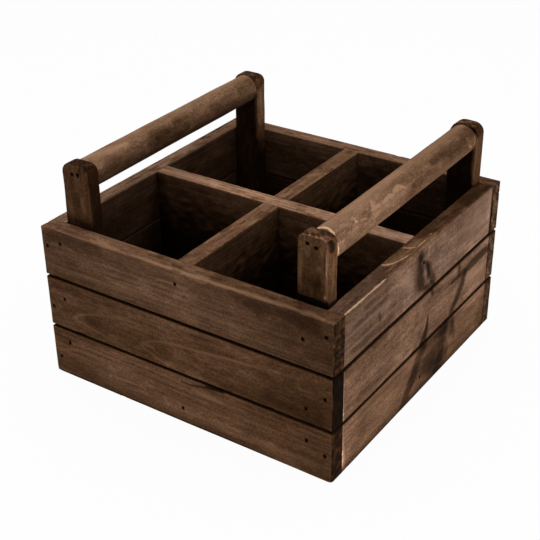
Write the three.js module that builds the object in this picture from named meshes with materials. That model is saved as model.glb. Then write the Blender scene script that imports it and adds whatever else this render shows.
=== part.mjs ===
// Condiment crate: a square slatted box, a cross of half-lapped dividers and two dowel handles.
// Millimetres. +Z is up, the crate stands on z = 0 and is centred on the Z axis, its front faces -Y.

import * as THREE from 'three';

// Walls: each is a stack of slats with an open joint between them
const COURSES = ['bottom', 'middle', 'top'];
const CRATE_WIDTH = 250;
const CRATE_DEPTH = 250;
const SLAT_HEIGHT = 40.7;
const SLAT_GAP = 2.3;
const FRONT_THICKNESS = 13.3;
const BACK_THICKNESS = 11.5;
const LEFT_THICKNESS = 12.2;
const RIGHT_THICKNESS = 13.4;

// Base panel, let in between the bottom slats
const BASE_THICKNESS = 9;

// Dividers, level with the rim. The front-to-back one stands a little off the middle of the inside
const DIVIDER_THICKNESS = 13;
const LAP_CLEARANCE = 0.3;
const FRONT_TO_BACK_DIVIDER_OFFSET = -1.9;

// Handles: dowels butted between a front and a back post, and centred on them
const HANDLE_DIAMETER = 22;
const HANDLE_SHOULDER = 0.7;

// Corner posts, a shoulder wider than a handle on either side and above it
const POST_WIDTH = HANDLE_DIAMETER + 2 * HANDLE_SHOULDER;
const POST_THICKNESS = 11.2;
const POST_RISE = 49.6;
const POST_TOP_RADIUS = 6.5;

// Softened arrises of the sawn stock. A board's corners are a little rounder than its edges
const EDGE_RADIUS = 0.8;
const CORNER_TO_EDGE = 1.5;
const EDGE_STEPS = 2;
const POST_TOP_STEPS = 6;
const HANDLE_SIDES = 40;

// Rounding of a board's corners
const cornerRadius = CORNER_TO_EDGE * EDGE_RADIUS;

// Levels
const slatPitch = SLAT_HEIGHT + SLAT_GAP;
const rimHeight = COURSES.length * slatPitch - SLAT_GAP;
const dividerHeight = rimHeight - BASE_THICKNESS;
const postHeight = dividerHeight + POST_RISE;
const handleLevel = rimHeight + POST_RISE - HANDLE_SHOULDER - HANDLE_DIAMETER / 2;

// Inner faces of the walls
const innerLeft = LEFT_THICKNESS - CRATE_WIDTH / 2;
const innerRight = CRATE_WIDTH / 2 - RIGHT_THICKNESS;
const innerFront = FRONT_THICKNESS - CRATE_DEPTH / 2;
const innerBack = CRATE_DEPTH / 2 - BACK_THICKNESS;
const innerWidth = innerRight - innerLeft;
const innerDepth = innerBack - innerFront;
const innerMiddleX = (innerLeft + innerRight) / 2;
const innerMiddleY = (innerFront + innerBack) / 2;

// Crossing of the dividers
const crossingX = innerMiddleX + FRONT_TO_BACK_DIVIDER_OFFSET;
const crossingY = innerMiddleY;

// Posts stand in the corners of the inside
const postLeftX = innerLeft + POST_WIDTH / 2;
const postRightX = innerRight - POST_WIDTH / 2;
const postFrontY = innerFront + POST_THICKNESS / 2;
const postBackY = innerBack - POST_THICKNESS / 2;

// An outline is drawn with its length along X and its height along Y. These turn it upright
const LENGTH_ALONG_X = new THREE.Euler(Math.PI / 2, 0, 0);
const LENGTH_ALONG_Y = new THREE.Euler(Math.PI / 2, Math.PI / 2, 0);

function woodPiece(name, geometry, color) {
  const material = new THREE.MeshStandardMaterial({ color, roughness: 0.8, metalness: 0 });
  const mesh = new THREE.Mesh(geometry, material);
  mesh.name = name;
  return mesh;
}

// A solid of the given thickness, centred on the outline's plane, with softened edges
function easedSolid(outline, thickness, curveSegments = EDGE_STEPS) {
  const depth = thickness - 2 * EDGE_RADIUS;
  const geometry = new THREE.ExtrudeGeometry(outline, {
    depth,
    curveSegments,
    bevelThickness: EDGE_RADIUS,
    bevelSize: EDGE_RADIUS,
    bevelOffset: -EDGE_RADIUS,
    bevelSegments: EDGE_STEPS,
  });
  geometry.translate(0, 0, -depth / 2);
  return geometry;
}

// A board's outline, centred on its length and standing on its lower edge
function boardOutline(length, height, topRadius = cornerRadius) {
  const bottomX = length / 2 - cornerRadius;
  const topX = length / 2 - topRadius;
  const topY = height - topRadius;
  const outline = new THREE.Shape();
  outline.absarc(bottomX, cornerRadius, cornerRadius, -Math.PI / 2, 0);
  outline.absarc(topX, topY, topRadius, 0, Math.PI / 2);
  outline.absarc(-topX, topY, topRadius, Math.PI / 2, Math.PI);
  outline.absarc(-bottomX, cornerRadius, cornerRadius, Math.PI, 1.5 * Math.PI);
  return outline;
}

function wall(side, length, thickness, rotation, color) {
  const group = new THREE.Group();
  COURSES.forEach((course, index) => {
    const solid = easedSolid(boardOutline(length, SLAT_HEIGHT), thickness);
    const slat = woodPiece(`${side}_slat_${course}`, solid, color);
    slat.rotation.copy(rotation);
    slat.position.z = index * slatPitch;
    group.add(slat);
  });
  return group;
}

function walls() {
  const front = wall('front', CRATE_WIDTH, FRONT_THICKNESS, LENGTH_ALONG_X, '#6d5647');
  const back = wall('back', CRATE_WIDTH, BACK_THICKNESS, LENGTH_ALONG_X, '#5f4a3c');
  const left = wall('left', innerDepth, LEFT_THICKNESS, LENGTH_ALONG_Y, '#6a5445');
  const right = wall('right', innerDepth, RIGHT_THICKNESS, LENGTH_ALONG_Y, '#86705f');
  front.position.y = innerFront - FRONT_THICKNESS / 2;
  back.position.y = innerBack + BACK_THICKNESS / 2;
  left.position.set(innerLeft - LEFT_THICKNESS / 2, innerMiddleY, 0);
  right.position.set(innerRight + RIGHT_THICKNESS / 2, innerMiddleY, 0);
  return [front, back, left, right];
}

function basePanel() {
  const outline = boardOutline(innerWidth, innerDepth);
  const panel = woodPiece('base_panel', easedSolid(outline, BASE_THICKNESS), '#4a3a2f');
  panel.position.set(innerMiddleX, innerFront, BASE_THICKNESS / 2);
  return panel;
}

// A divider's outline from one wall to the other. The half-lap slot lies at slotAt along its length
function dividerOutline(from, to, slotAt, slotFromTop) {
  const slotLeft = slotAt - DIVIDER_THICKNESS / 2 - LAP_CLEARANCE;
  const slotRight = slotAt + DIVIDER_THICKNESS / 2 + LAP_CLEARANCE;
  const slotEnd = dividerHeight / 2 + (slotFromTop ? -1 : 1) * LAP_CLEARANCE / 2;
  const slot = [
    new THREE.Vector2(slotLeft, slotFromTop ? dividerHeight : 0),
    new THREE.Vector2(slotLeft, slotEnd),
    new THREE.Vector2(slotRight, slotEnd),
    new THREE.Vector2(slotRight, slotFromTop ? dividerHeight : 0),
  ];
  const bottomEdge = [new THREE.Vector2(from, 0), new THREE.Vector2(to, 0)];
  const topEdge = [new THREE.Vector2(to, dividerHeight), new THREE.Vector2(from, dividerHeight)];
  if (slotFromTop) {
    topEdge.splice(1, 0, ...slot.reverse());
  } else {
    bottomEdge.splice(1, 0, ...slot);
  }
  return new THREE.Shape([...bottomEdge, ...topEdge]);
}

function dividers() {
  const acrossOutline = dividerOutline(innerLeft, innerRight, crossingX, false);
  const across = woodPiece('divider_side_to_side', easedSolid(acrossOutline, DIVIDER_THICKNESS), '#8d7462');
  across.rotation.copy(LENGTH_ALONG_X);
  across.position.set(0, crossingY, BASE_THICKNESS);

  const alongOutline = dividerOutline(innerFront, innerBack, crossingY, true);
  const along = woodPiece('divider_front_to_back', easedSolid(alongOutline, DIVIDER_THICKNESS), '#8a725f');
  along.rotation.copy(LENGTH_ALONG_Y);
  along.position.set(crossingX, 0, BASE_THICKNESS);
  return [across, along];
}

function post(name, x, y) {
  const outline = boardOutline(POST_WIDTH, postHeight, POST_TOP_RADIUS);
  const mesh = woodPiece(name, easedSolid(outline, POST_THICKNESS, POST_TOP_STEPS), '#6f5b4a');
  mesh.rotation.copy(LENGTH_ALONG_X);
  mesh.position.set(x, y, BASE_THICKNESS);
  return mesh;
}

function posts() {
  return [
    post('post_front_left', postLeftX, postFrontY),
    post('post_front_right', postRightX, postFrontY),
    post('post_back_left', postLeftX, postBackY),
    post('post_back_right', postRightX, postBackY),
  ];
}

// A dowel along Y with softened ends, which butt against the inner faces of two posts
function handle(name, x) {
  const radius = HANDLE_DIAMETER / 2;
  const halfLength = innerDepth / 2 - POST_THICKNESS;
  const profile = [
    new THREE.Vector2(0, -halfLength),
    new THREE.Vector2(radius - EDGE_RADIUS, -halfLength),
    new THREE.Vector2(radius, EDGE_RADIUS - halfLength),
    new THREE.Vector2(radius, halfLength - EDGE_RADIUS),
    new THREE.Vector2(radius - EDGE_RADIUS, halfLength),
    new THREE.Vector2(0, halfLength),
  ];
  const mesh = woodPiece(name, new THREE.LatheGeometry(profile, HANDLE_SIDES), '#8f7763');
  mesh.position.set(x, innerMiddleY, handleLevel);
  return mesh;
}

function handles() {
  return [
    handle('handle_left', postLeftX),
    handle('handle_right', postRightX),
  ];
}

const crate = new THREE.Group();
crate.add(...walls(), basePanel(), ...dividers(), ...posts(), ...handles());

export default crate;
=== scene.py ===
"""Looks of a condiment crate: worn boards, posts and dowels of dark-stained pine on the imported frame.

Lengths are in millimetres until a mesh is made. Every stick of wood has its own directions, measured
from its middle: l runs along its grain, t across its face and n through its thickness.
"""

import math
from functools import partial, reduce

import bpy
import numpy as np
from mathutils import Matrix, Vector, noise


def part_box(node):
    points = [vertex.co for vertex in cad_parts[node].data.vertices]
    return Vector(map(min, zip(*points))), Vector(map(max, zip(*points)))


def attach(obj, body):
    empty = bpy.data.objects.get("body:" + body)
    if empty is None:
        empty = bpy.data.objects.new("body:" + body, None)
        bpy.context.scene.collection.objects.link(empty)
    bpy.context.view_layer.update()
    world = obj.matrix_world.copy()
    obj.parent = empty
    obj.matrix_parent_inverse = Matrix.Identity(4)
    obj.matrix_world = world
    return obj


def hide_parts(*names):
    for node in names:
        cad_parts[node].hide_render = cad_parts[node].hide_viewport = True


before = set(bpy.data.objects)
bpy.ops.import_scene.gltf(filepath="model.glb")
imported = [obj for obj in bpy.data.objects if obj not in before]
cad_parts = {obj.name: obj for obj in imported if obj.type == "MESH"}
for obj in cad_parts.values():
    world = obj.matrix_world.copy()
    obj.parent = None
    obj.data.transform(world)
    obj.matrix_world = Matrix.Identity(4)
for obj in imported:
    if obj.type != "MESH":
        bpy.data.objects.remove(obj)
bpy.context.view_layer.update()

MM = 0.001
COURSES = ("bottom", "middle", "top")

# Lattice over a stick of wood, finer towards its arrises. Its steps are wider on the dividers and the base
ALONG_STEP = 1.5
ACROSS_STEP = 1.1
THROUGH_STEP = 1.1
DIVIDER_COARSE = 1.3
BASE_COARSE = 3
ARRIS_LINES = (0.4, 0.9, 1.6, 2.6)

# Wear of the arrises and unevenness of the faces. The raised grain stands a little proud of the CAD faces
ARRIS_RADIUS = 0.55
PROUD = 0.3
ARRIS_WANDER = 0.45
ARRIS_WANDER_SIZE = 20
CHIP_DEPTH = 1.6
CHIP_SIZE = (8, 5, 5)
CHIP_LEVEL = 0.42
FACE_DEPTH = 0.12
FACE_SIZE = (70, 9, 9)
TEAR_DEPTH = 0.5

# A point counts as lying on a face or an end within these depths below it
FACE_SKIN = 0.5
FACE_SKIN_FULL = 0.1
END_SKIN = 0.2

# Least length to divide by
TINY = 1e-9

# Every stick has noise of its own, by its seed, and so have its chips and its faces, by these steps in it
NOISE_STRIDE = 37.3
CHIP_SEED = 0.5
FACE_SEED = 0.7

# Pin nails, sunk below the face, with painted shade in their pits
PIT_RADIUS = 1.0
PIT_ROOM = 1.3
PIT_LIP = 0.15
PIT_DEPTH = 2.4
PIT_TAPER = 0.8
PIT_SHADE = 0.98

# Posts: rounded top corners and planed-off arrises
POST_CORNER_LINES = (0.52, 0.68, 0.83, 1.0)
POST_ARRIS = 1.2
POST_ARRIS_POWER = 1.35

# Handles
HANDLE_SIDES = 64
HANDLE_END_LINES = (0.0, 0.25, 0.7, 1.4, 2.6)
HANDLE_END_ROUND = 0.9
HANDLE_LUMPS = 0.2
HANDLE_STEP = 1.1
HANDLE_LUMP_SIZE = (26, 9, 9)

# Camera of the photograph, in degrees and millimetres, for a square picture
AZIMUTH = 34.2777
ELEVATION = 29.6657
ROLL = -0.7501
DISTANCE = 926.4974
SIDE_SHIFT = -7.6181
RISE_SHIFT = 59.245
LENS = 76.2366
SENSOR = 36
CLIP_START = 10


def box_of(node):
    """The low and the high corner of a CAD node, in mm."""
    return [np.array(corner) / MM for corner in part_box(node)]


def linear(red, green, blue):
    """A colour given as 0 to 255 display values, as the scene-linear colour that a shader takes."""
    def channel(value):
        value /= 255
        return value / 12.92 if value <= 0.04045 else ((value + 0.055) / 1.055) ** 2.4
    return (channel(red), channel(green), channel(blue), 1.0)


def wander(points, size, seed):
    """Smooth noise, about -1 to 1, at points in mm. size is its grain, one number or one per direction."""
    places = (points / np.array(size) + NOISE_STRIDE * seed).tolist()
    return np.array([noise.noise(place) for place in places])


def smooth(value, low, high):
    """0 below low, 1 above high, and a soft step between."""
    x = np.clip((value - low) / (high - low), 0, 1)
    return x * x * (3 - 2 * x)


class Stick:
    """A piece of timber in the box of a CAD node."""

    UNIT = {"X": Vector((1, 0, 0)), "Y": Vector((0, 1, 0)), "Z": Vector((0, 0, 1))}
    made = 0

    def __init__(self, node, along, across):
        low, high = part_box(node)
        self.node = node
        self.centre = np.array((low + high) / 2) / MM
        directions = [self.UNIT[along], self.UNIT[across]]
        directions.append(directions[0].cross(directions[1]))
        self.directions = np.array(directions)
        self.half = np.abs(self.directions @ np.array((high - low) / 2)) / MM
        Stick.made += 1
        self.seed = Stick.made

    def world(self, points):
        """Points of the stick in the crate's frame, in metres."""
        return (self.centre + points @ self.directions) * MM

    def local(self, axis, value):
        """A crate coordinate along one of the stick's directions, measured from its middle."""
        direction = self.directions[axis]
        return direction.sum() * (value - self.centre @ np.abs(direction))

    def place(self, face, a, b):
        """A point of the stick. face names its fixed directions, such as n+, or t+n+ for an arris.

        a and b are crate coordinates along its free directions. On a round stick's face, called round,
        b is the angle in degrees from the top towards +X.
        """
        if face == "round":
            angle = math.radians(b)
            across = self.half[1] * math.cos(angle)
            through = self.half[2] * math.sin(angle)
            return np.array([self.local(0, a), across, through])
        point = np.zeros(3)
        free = [axis for axis in range(3) if "ltn"[axis] not in face]
        for axis, value in zip(free, (a, b)):
            point[axis] = self.local(axis, value)
        for name, sign in zip(face[::2], face[1::2]):
            axis = "ltn".index(name)
            point[axis] = self.half[axis] * (1 if sign == "+" else -1)
        return point

    def on_face(self, points, face):
        """1 on the named face and 0 a little below it. An arris and a round face have no such limit."""
        if len(face) != 2:
            return np.ones(len(points))
        axis = "ltn".index(face[0])
        out = points[:, axis] * (1 if face[1] == "+" else -1)
        return smooth(out, self.half[axis] - FACE_SKIN, self.half[axis] - FACE_SKIN_FULL)


def lattice_lines(half, step, stops=()):
    """Places from -half to half: close together at both ends, even elsewhere, and one on every stop."""
    ends = [half - inset for inset in (0, *ARRIS_LINES)]
    fixed = sorted({*ends, *(-place for place in ends), *stops})
    lines = []
    for start, end in zip(fixed, fixed[1:]):
        count = max(1, round((end - start) / step))
        lines.extend(np.linspace(start, end, count, endpoint=False))
    return np.array([*lines, half])


def lattice_surface(lines, solid):
    """Points, and outward quads, on the boundary of the solid cells of a lattice."""
    shape = [len(places) for places in lines]
    number = np.arange(math.prod(shape)).reshape(shape)
    quads = []
    for axis in range(3):
        order = (axis, (axis + 1) % 3, (axis + 2) % 3)
        corner = np.transpose(number, order)
        cells = np.pad(np.transpose(solid, order).astype(int), ((1, 1), (0, 0), (0, 0)))
        change = np.diff(cells, axis=0)
        for leaving in (True, False):
            i, j, k = np.nonzero(change == (-1 if leaving else 1))
            loop = [corner[i, j, k], corner[i, j + 1, k], corner[i, j + 1, k + 1], corner[i, j, k + 1]]
            quads.append(np.stack(loop if leaving else loop[::-1], axis=1))
    used, quads = np.unique(np.concatenate(quads), return_inverse=True)
    places = np.unravel_index(used, shape)
    points = np.stack([lines[axis][places[axis]] for axis in range(3)], axis=1)
    return points, quads.reshape(-1, 4)


def pitted(points, faces, lines, pits, side):
    """Sinks a nail pit at each lattice point (l, t) of pits, on the face whose n has the sign of side.

    The quads round that point become a ring, a wall and a floor. Returns the points, the faces and how
    deep each point is sunk below the face.
    """
    level = side * (side * points[:, 2]).max()
    faces = [tuple(face) for face in faces]
    sunk = np.zeros(len(points))
    for place in pits:
        centre = np.array([*place, level])
        inside = np.isclose(points[:, 2], level)
        border = np.zeros(len(points), bool)
        for axis, middle in enumerate(place):
            low = lines[axis][lines[axis] < middle - PIT_ROOM].max()
            high = lines[axis][lines[axis] > middle + PIT_ROOM].min()
            inside &= (points[:, axis] >= low) & (points[:, axis] <= high)
            border |= (points[:, axis] == low) | (points[:, axis] == high)
        rim = np.flatnonzero(inside & border)
        away = points[rim] - centre
        order = np.argsort(side * np.arctan2(away[:, 1], away[:, 0]))
        rim = rim[order]
        away = PIT_RADIUS * away[order] / np.linalg.norm(away[order], axis=1, keepdims=True)
        faces = [face for face in faces if not inside[list(face)].all()]
        mouth = len(points)
        floor = mouth + len(rim)
        hub = floor + len(rim)
        points = np.concatenate([points, centre + away, centre + away * PIT_TAPER, [centre]])
        sunk = np.concatenate([sunk, np.full(len(rim), PIT_LIP), np.full(len(rim) + 1, PIT_DEPTH)])
        for i in range(len(rim)):
            j = (i + 1) % len(rim)
            faces.append((rim[i], rim[j], mouth + j, mouth + i))
            faces.append((mouth + i, mouth + j, floor + j, floor + i))
            faces.append((floor + i, floor + j, hub))
    used = sorted({i for face in faces for i in face})
    number = {old: new for new, old in enumerate(used)}
    return points[used], [tuple(number[i] for i in face) for face in faces], sunk[used]


def box_eased(points, half, radius):
    """Surface points of a box with its arrises rounded, and the way out of the box at each of them."""
    inner = half - radius[:, None]
    core = np.clip(points, -inner, inner)
    outward = points - core
    reach = np.linalg.norm(outward, axis=1, keepdims=True)
    outward = np.divide(outward, reach, out=np.zeros_like(outward), where=reach > 0)
    return np.where(reach > radius[:, None], core + outward * radius[:, None], points), outward


def post_eased(points, half, radius, corners):
    """The same for a post: its top corners are rounded, then the arrises of its outline are planed off.

    corners are the radii of its left and its right top corner.
    """
    points = points.copy()
    top_radius = np.where(points[:, 1] < 0, *corners)
    corner = half[:2] - top_radius[:, None]
    side = np.stack([np.ones(len(points)), np.sign(points[:, 1])], axis=1)
    over = points[:, :2] * side - corner
    in_corner = (over > 0).all(axis=1)
    reach = np.maximum(np.linalg.norm(over, axis=1), TINY)
    square = over.max(axis=1)
    bent = side * (corner + over * (square / reach)[:, None])
    points[in_corner, :2] = bent[in_corner]

    gaps = half[:2] - np.abs(points[:, :2])
    nearest = gaps.argmin(axis=1)
    inset = np.where(in_corner, top_radius - square, gaps.min(axis=1))
    outline_way = np.zeros((len(points), 3))
    outline_way[np.arange(len(points)), nearest] = np.sign(points[np.arange(len(points)), nearest])
    outline_way[in_corner, :2] = (side * over / reach[:, None])[in_corner]
    through_way = np.zeros((len(points), 3))
    through_way[:, 2] = np.sign(points[:, 2])

    a = np.clip(radius - inset, 0, None)
    b = np.clip(radius - (half[2] - np.abs(points[:, 2])), 0, None)
    length = np.maximum((a ** POST_ARRIS_POWER + b ** POST_ARRIS_POWER) ** (1 / POST_ARRIS_POWER), TINY)
    pull = np.where((a > 0) & (b > 0), np.maximum(a, b) / length, 1)
    points += outline_way * (a * (pull - 1))[:, None] + through_way * (b * (pull - 1))[:, None]
    outward = outline_way * a[:, None] + through_way * b[:, None]
    outward /= np.maximum(np.linalg.norm(outward, axis=1, keepdims=True), TINY)
    return points, outward


CURVE_STEPS = 5


def curve_through(path):
    """More points on a smooth curve through the points of a path."""
    path = np.array(path, float)
    ends = np.concatenate([[2 * path[0] - path[1]], path, [2 * path[-1] - path[-2]]])
    found = []
    for before, start, end, after in zip(ends, ends[1:], ends[2:], ends[3:]):
        for share in np.linspace(0, 1, CURVE_STEPS, endpoint=False):
            slope_in = (end - before) / 2
            slope_out = (after - start) / 2
            ahead = 3 * (end - start) - 2 * slope_in - slope_out
            bend = slope_in + slope_out - 2 * (end - start)
            found.append(start + share * (slope_in + share * (ahead + share * bend)))
    return np.array([*found, path[-1]])


def stroke(points, path, widths):
    """How much each point lies on a brushed path: 1 in its middle, falling to 0 at its width."""
    cover = np.zeros(len(points))
    smooth_path = curve_through(np.column_stack([path, widths]))
    for start, end in zip(smooth_path, smooth_path[1:]):
        run = end[:3] - start[:3]
        share = np.clip((points - start[:3]) @ run / max(run @ run, TINY), 0, 1)
        distance = np.linalg.norm(points - start[:3] - share[:, None] * run, axis=1)
        width = start[3] + share * (end[3] - start[3])
        cover = np.maximum(cover, 1 - distance / width)
    return cover


# Kinds of marks: ink-dark figure, torn bare wood, rubbed spots, shade (thicker stain and painted shade;
# below 0, thinner stain and painted light), light streaks, and grey (faded wood and painted sheen). A shade
# breaks up a little
MARK_KINDS = ("dark", "pale", "worn", "shade", "light", "grey")
SHADE_FULL = 0.65
SHADE_BREAK = 0.5
SHADE_BREAK_SIZE = (9, 4, 4)


def brushed(stick, points, marks):
    """The fields painted by a stick's marks. A mark is (kind, face, strength, [(a, b, width), ...])."""
    fields = {kind: np.zeros(len(points)) for kind in MARK_KINDS}
    uneven = 1 + SHADE_BREAK * wander(points, SHADE_BREAK_SIZE, stick.seed)
    for kind, face, strength, path in marks:
        places = [stick.place(face, a, b) for a, b, width in path]
        cover = stroke(points, places, [width for a, b, width in path]) * stick.on_face(points, face)
        if kind == "shade":
            fields[kind] = 1 - (1 - fields[kind]) * (1 - strength * smooth(cover * uneven, 0, SHADE_FULL))
        else:
            fields[kind] = np.maximum(fields[kind], strength * cover)
    return fields


def listed(table):
    """The marks of a table {"kind face": [(strength, (a, b, width), ...), ...]}.

    A point without a width takes the one before it.
    """
    marks = []
    for look, strokes in table.items():
        kind, face = look.split()
        for strength, *points in strokes:
            path = []
            for a, b, *width in points:
                path.append((a, b, *(width or path[-1][2:])))
            marks.append((kind, face, strength, path))
    return marks


# Wood: where a stick was cut from its log. pith is where the heart of the tree lies in t and n
PLAIN_GRAIN = dict(pith=(55, -35), spacing=3.2, slope=0.0, sway=2.5, lines=0.3, grey=0.0)
SWAY_SIZE = (90, 45, 45)


def growth_rings(points, grain, seed):
    """How many growth rings lie between the pith and each point."""
    l, t, n = points.T
    drift = grain["sway"] * wander(points, SWAY_SIZE, seed)
    radius = np.hypot(t - grain["pith"][0] + drift, n - grain["pith"][1])
    return (radius - grain["slope"] * l) / grain["spacing"]


def wood_fields(stick, points, grain, marks, shades):
    """Point attributes that the wood materials read. shades darken whole faces, as {face: amount}."""
    half = stick.half
    fields = brushed(stick, points, marks)
    for face, amount in shades.items():
        fields["shade"] = 1 - (1 - fields["shade"]) * (1 - amount * stick.on_face(points, face))
    fields["grain"] = points + NOISE_STRIDE * stick.seed
    fields["ring"] = growth_rings(points, grain, stick.seed)
    fields["edge"] = np.sort(half - np.abs(points), axis=1)[:, 1]
    fields["end"] = smooth(np.abs(points[:, 0]), half[0] - END_SKIN, half[0])
    fields["lines"] = np.full(len(points), grain["lines"])
    fields["grey"] = np.maximum(fields["grey"], grain["grey"])
    return fields


def worn_depths(stick, points, arris):
    """Radius of the worn arrises and depth of the uneven faces at each point."""
    wandering = wander(points, ARRIS_WANDER_SIZE, stick.seed)
    chips = np.maximum(wander(points, CHIP_SIZE, stick.seed + CHIP_SEED) - CHIP_LEVEL, 0) / (1 - CHIP_LEVEL)
    radius = arris * (1 + ARRIS_WANDER * wandering) + CHIP_DEPTH * chips
    depth = FACE_DEPTH * wander(points, FACE_SIZE, stick.seed + FACE_SEED) - PROUD
    return radius, depth


def make_piece(stick, points, faces, fields, slot):
    """A mesh object that stands for the stick's CAD node. fields are its point attributes."""
    mesh = bpy.data.meshes.new(stick.node + "_wood")
    places = stick.world(points)
    places[:, 2] = np.maximum(places[:, 2], 0)
    mesh.from_pydata(places.tolist(), [], [tuple(map(int, face)) for face in faces])
    mesh.update()
    for name, values in fields.items():
        kind, part = ("FLOAT", "value") if values.ndim == 1 else ("FLOAT_VECTOR", "vector")
        attribute = mesh.attributes.new(name, kind, "POINT")
        attribute.data.foreach_set(part, values.astype(np.float32).ravel())
    mesh.shade_smooth()
    mesh.materials.append(woods[slot])
    piece = bpy.data.objects.new(stick.node + "_wood", mesh)
    bpy.context.collection.objects.link(piece)
    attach(piece, "root")
    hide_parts(stick.node)


def trimmed(points, half, trim):
    """How far points move where single faces lie off their CAD places, as {face: mm outwards}."""
    moves = np.zeros_like(points)
    for face, amount in trim.items():
        axis = "ltn".index(face[0])
        sign = 1 if face[1] == "+" else -1
        moves[:, axis] += sign * amount * np.clip(sign * points[:, axis] / half[axis], 0, 1)
    return moves


def board(node, along, across, slot, grain=None, marks=(), shades=None, nails=(), side=1, notch=None,
          ease=box_eased, arris=ARRIS_RADIUS, stops=((), (), ()), trim=None, shift=(0, 0, 0), coarse=1.0):
    """A worn board.

    nails are crate coordinates (along l, along t) on the face whose n has the sign of side. notch is a
    slot through the board, (from l, to l, end t, True if it is cut from the top), from its middle.
    trim moves single faces, as {face: mm outwards}, and shift moves the board along l, t and n.
    coarse widens the steps of its lattice.
    """
    stick = Stick(node, along, across)
    pits = [(stick.local(0, a), stick.local(1, b)) for a, b in nails]
    stops = [[*stops[0], *(l for l, t in pits)], [*stops[1], *(t for l, t in pits)], [*stops[2]]]
    if notch:
        stops[0] += notch[:2]
        stops[1] += notch[2:3]
    steps = (coarse * ALONG_STEP, coarse * ACROSS_STEP, coarse * THROUGH_STEP)
    lines = [lattice_lines(stick.half[axis], steps[axis], stops[axis]) for axis in range(3)]
    solid = np.ones([len(places) - 1 for places in lines], bool)
    if notch:
        l, t, n = [(places[1:] + places[:-1]) / 2 for places in lines]
        cut = (l > notch[0]) & (l < notch[1]), (t > notch[2]) == notch[3]
        solid[np.ix_(*cut)] = False
    points, faces = lattice_surface(lines, solid)
    points, faces, sunk = pitted(points, faces, lines, pits, side)
    fields = wood_fields(stick, points, {**PLAIN_GRAIN, **(grain or {})}, marks, shades or {})
    radius, depth = worn_depths(stick, points, arris)
    worn, outward = ease(points, stick.half, radius)
    depth += TEAR_DEPTH * np.clip(fields["pale"], 0, 1) + sunk
    # The nail pits get painted shade
    fields["shade"][sunk > 0] = PIT_SHADE
    worn += trimmed(points, stick.half, trim or {}) + np.array(shift)
    make_piece(stick, worn - outward * depth[:, None], faces, fields, slot)


def dowel(node, slot, grain, marks, shifts):
    """A round handle along Y, a little lumpy, with softened ends.

    shifts move its near and its far end along t and n.
    """
    stick = Stick(node, "Y", "Z")
    half = stick.half
    ends = [half[0] - inset for inset in HANDLE_END_LINES]
    count = round(2 * ends[-1] / HANDLE_STEP)
    between = np.linspace(-ends[-1], ends[-1], count)[1:-1]
    stations = np.array([*(-place for place in ends), *between, *ends[::-1]])
    angles = np.linspace(0, 2 * np.pi, HANDLE_SIDES, endpoint=False)
    l = np.repeat(stations, HANDLE_SIDES)
    t = half[1] * np.tile(np.cos(angles), len(stations))
    n = half[2] * np.tile(np.sin(angles), len(stations))
    caps = [[place, 0, 0] for place in (-half[0], half[0])]
    points = np.concatenate([np.stack([l, t, n], axis=1), caps])
    sides = [(i, (i + 1) % HANDLE_SIDES) for i in range(HANDLE_SIDES)]
    last = (len(stations) - 1) * HANDLE_SIDES
    faces = []
    for first in range(0, last, HANDLE_SIDES):
        after = first + HANDLE_SIDES
        faces += [(first + i, first + j, after + j, after + i) for i, j in sides]
    for i, j in sides:
        faces += [(j, i, len(points) - 2), (last + i, last + j, len(points) - 1)]
    fields = wood_fields(stick, points, {**PLAIN_GRAIN, **grain}, marks, {})
    fields["edge"] = half[0] - np.abs(points[:, 0])
    lumps = HANDLE_LUMPS * wander(points, HANDLE_LUMP_SIZE, stick.seed)
    tears = TEAR_DEPTH * np.clip(fields["pale"], 0, 1)
    inset = np.clip(HANDLE_END_ROUND - (half[0] - np.abs(points[:, 0])), 0, None)
    round_off = HANDLE_END_ROUND - np.sqrt(HANDLE_END_ROUND ** 2 - inset ** 2)
    shrink = 1 - (lumps + tears + round_off - PROUD) / half[1]
    worn = points * np.stack([np.ones(len(points)), shrink, shrink], axis=1)
    near, far = np.array(shifts)
    share = (points[:, :1] + half[0]) / (2 * half[0])
    worn[:, 1:] += near + share * (far - near)
    make_piece(stick, worn, faces, fields, slot)


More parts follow.
